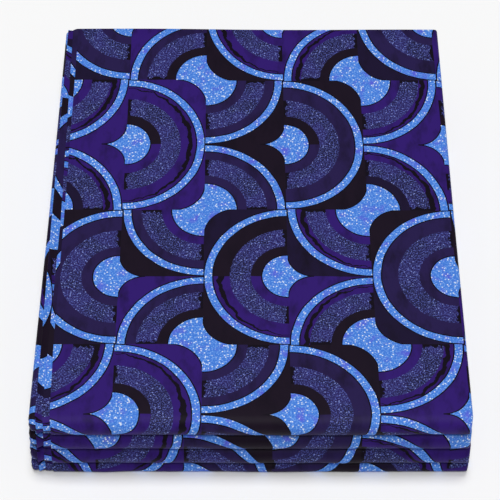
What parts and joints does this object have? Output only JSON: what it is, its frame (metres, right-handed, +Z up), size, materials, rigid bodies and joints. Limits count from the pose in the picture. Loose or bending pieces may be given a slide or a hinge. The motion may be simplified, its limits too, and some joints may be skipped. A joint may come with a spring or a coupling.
{
  "type": "folded ankara fabric",
  "caption": "A cut length of wax-printed cotton, folded across its width and then back and forth into a flat stack, with a scale-like print of quarter arcs.",
  "frame": {"origin": "middle of the base, on the surface that the stack rests on", "axes": "+Y towards the back, away from the folds that show; +X to the closed fold; +Z up through the layers"},
  "size_m": [0.3006, 0.3536, 0.0654],
  "materials": {
    "printed_cotton": "wax-printed plain-weave cotton, smooth and slightly crisp, with a faint sheen"
  },
  "bodies": {
    "root": {"folded_cloth": "printed_cotton"}
  },
  "joints": []
}
